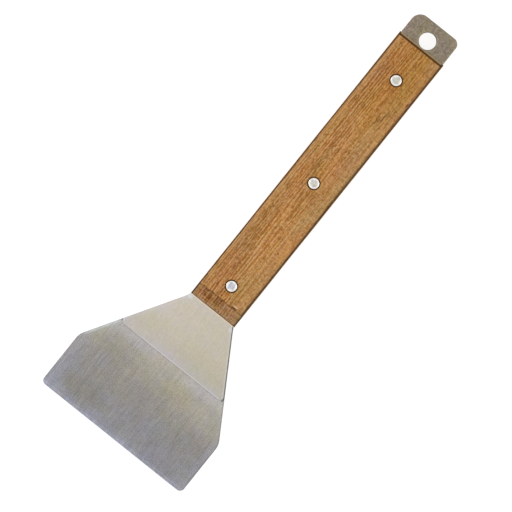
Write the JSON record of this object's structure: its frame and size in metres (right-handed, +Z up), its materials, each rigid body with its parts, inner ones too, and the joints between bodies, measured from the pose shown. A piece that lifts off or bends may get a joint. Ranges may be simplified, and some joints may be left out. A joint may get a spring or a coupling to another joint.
{
  "type": "grill scraper",
  "caption": "Flat scraper for grills: a wide flared steel blade under a stiff tang plate, riveted between sloped wood scales, with a hanging hole in the tail.",
  "frame": {"origin": "centre of the object's bounding box, on the surface that the lower scale rests on", "axes": "+Y from the working edge to the tail, +Z up from the lower scale to the upper scale, +X to the right when the blade is nearest"},
  "size_m": [0.1, 0.2938, 0.017],
  "materials": {
    "plate_steel": "satin rolled sheet",
    "blade_steel": "brushed along the tool",
    "beech": "oiled, fine straight grain",
    "rivet_metal": "satin"
  },
  "bodies": {
    "root": {"tang_plate": "plate_steel", "blade": "blade_steel", "upper_scale": "beech", "lower_scale": "beech", "rivet_sleeve_front": "rivet_metal", "rivet_post_front": "rivet_metal", "rivet_sleeve_middle": "rivet_metal", "rivet_post_middle": "rivet_metal", "rivet_sleeve_rear": "rivet_metal", "rivet_post_rear": "rivet_metal"}
  },
  "joints": []
}
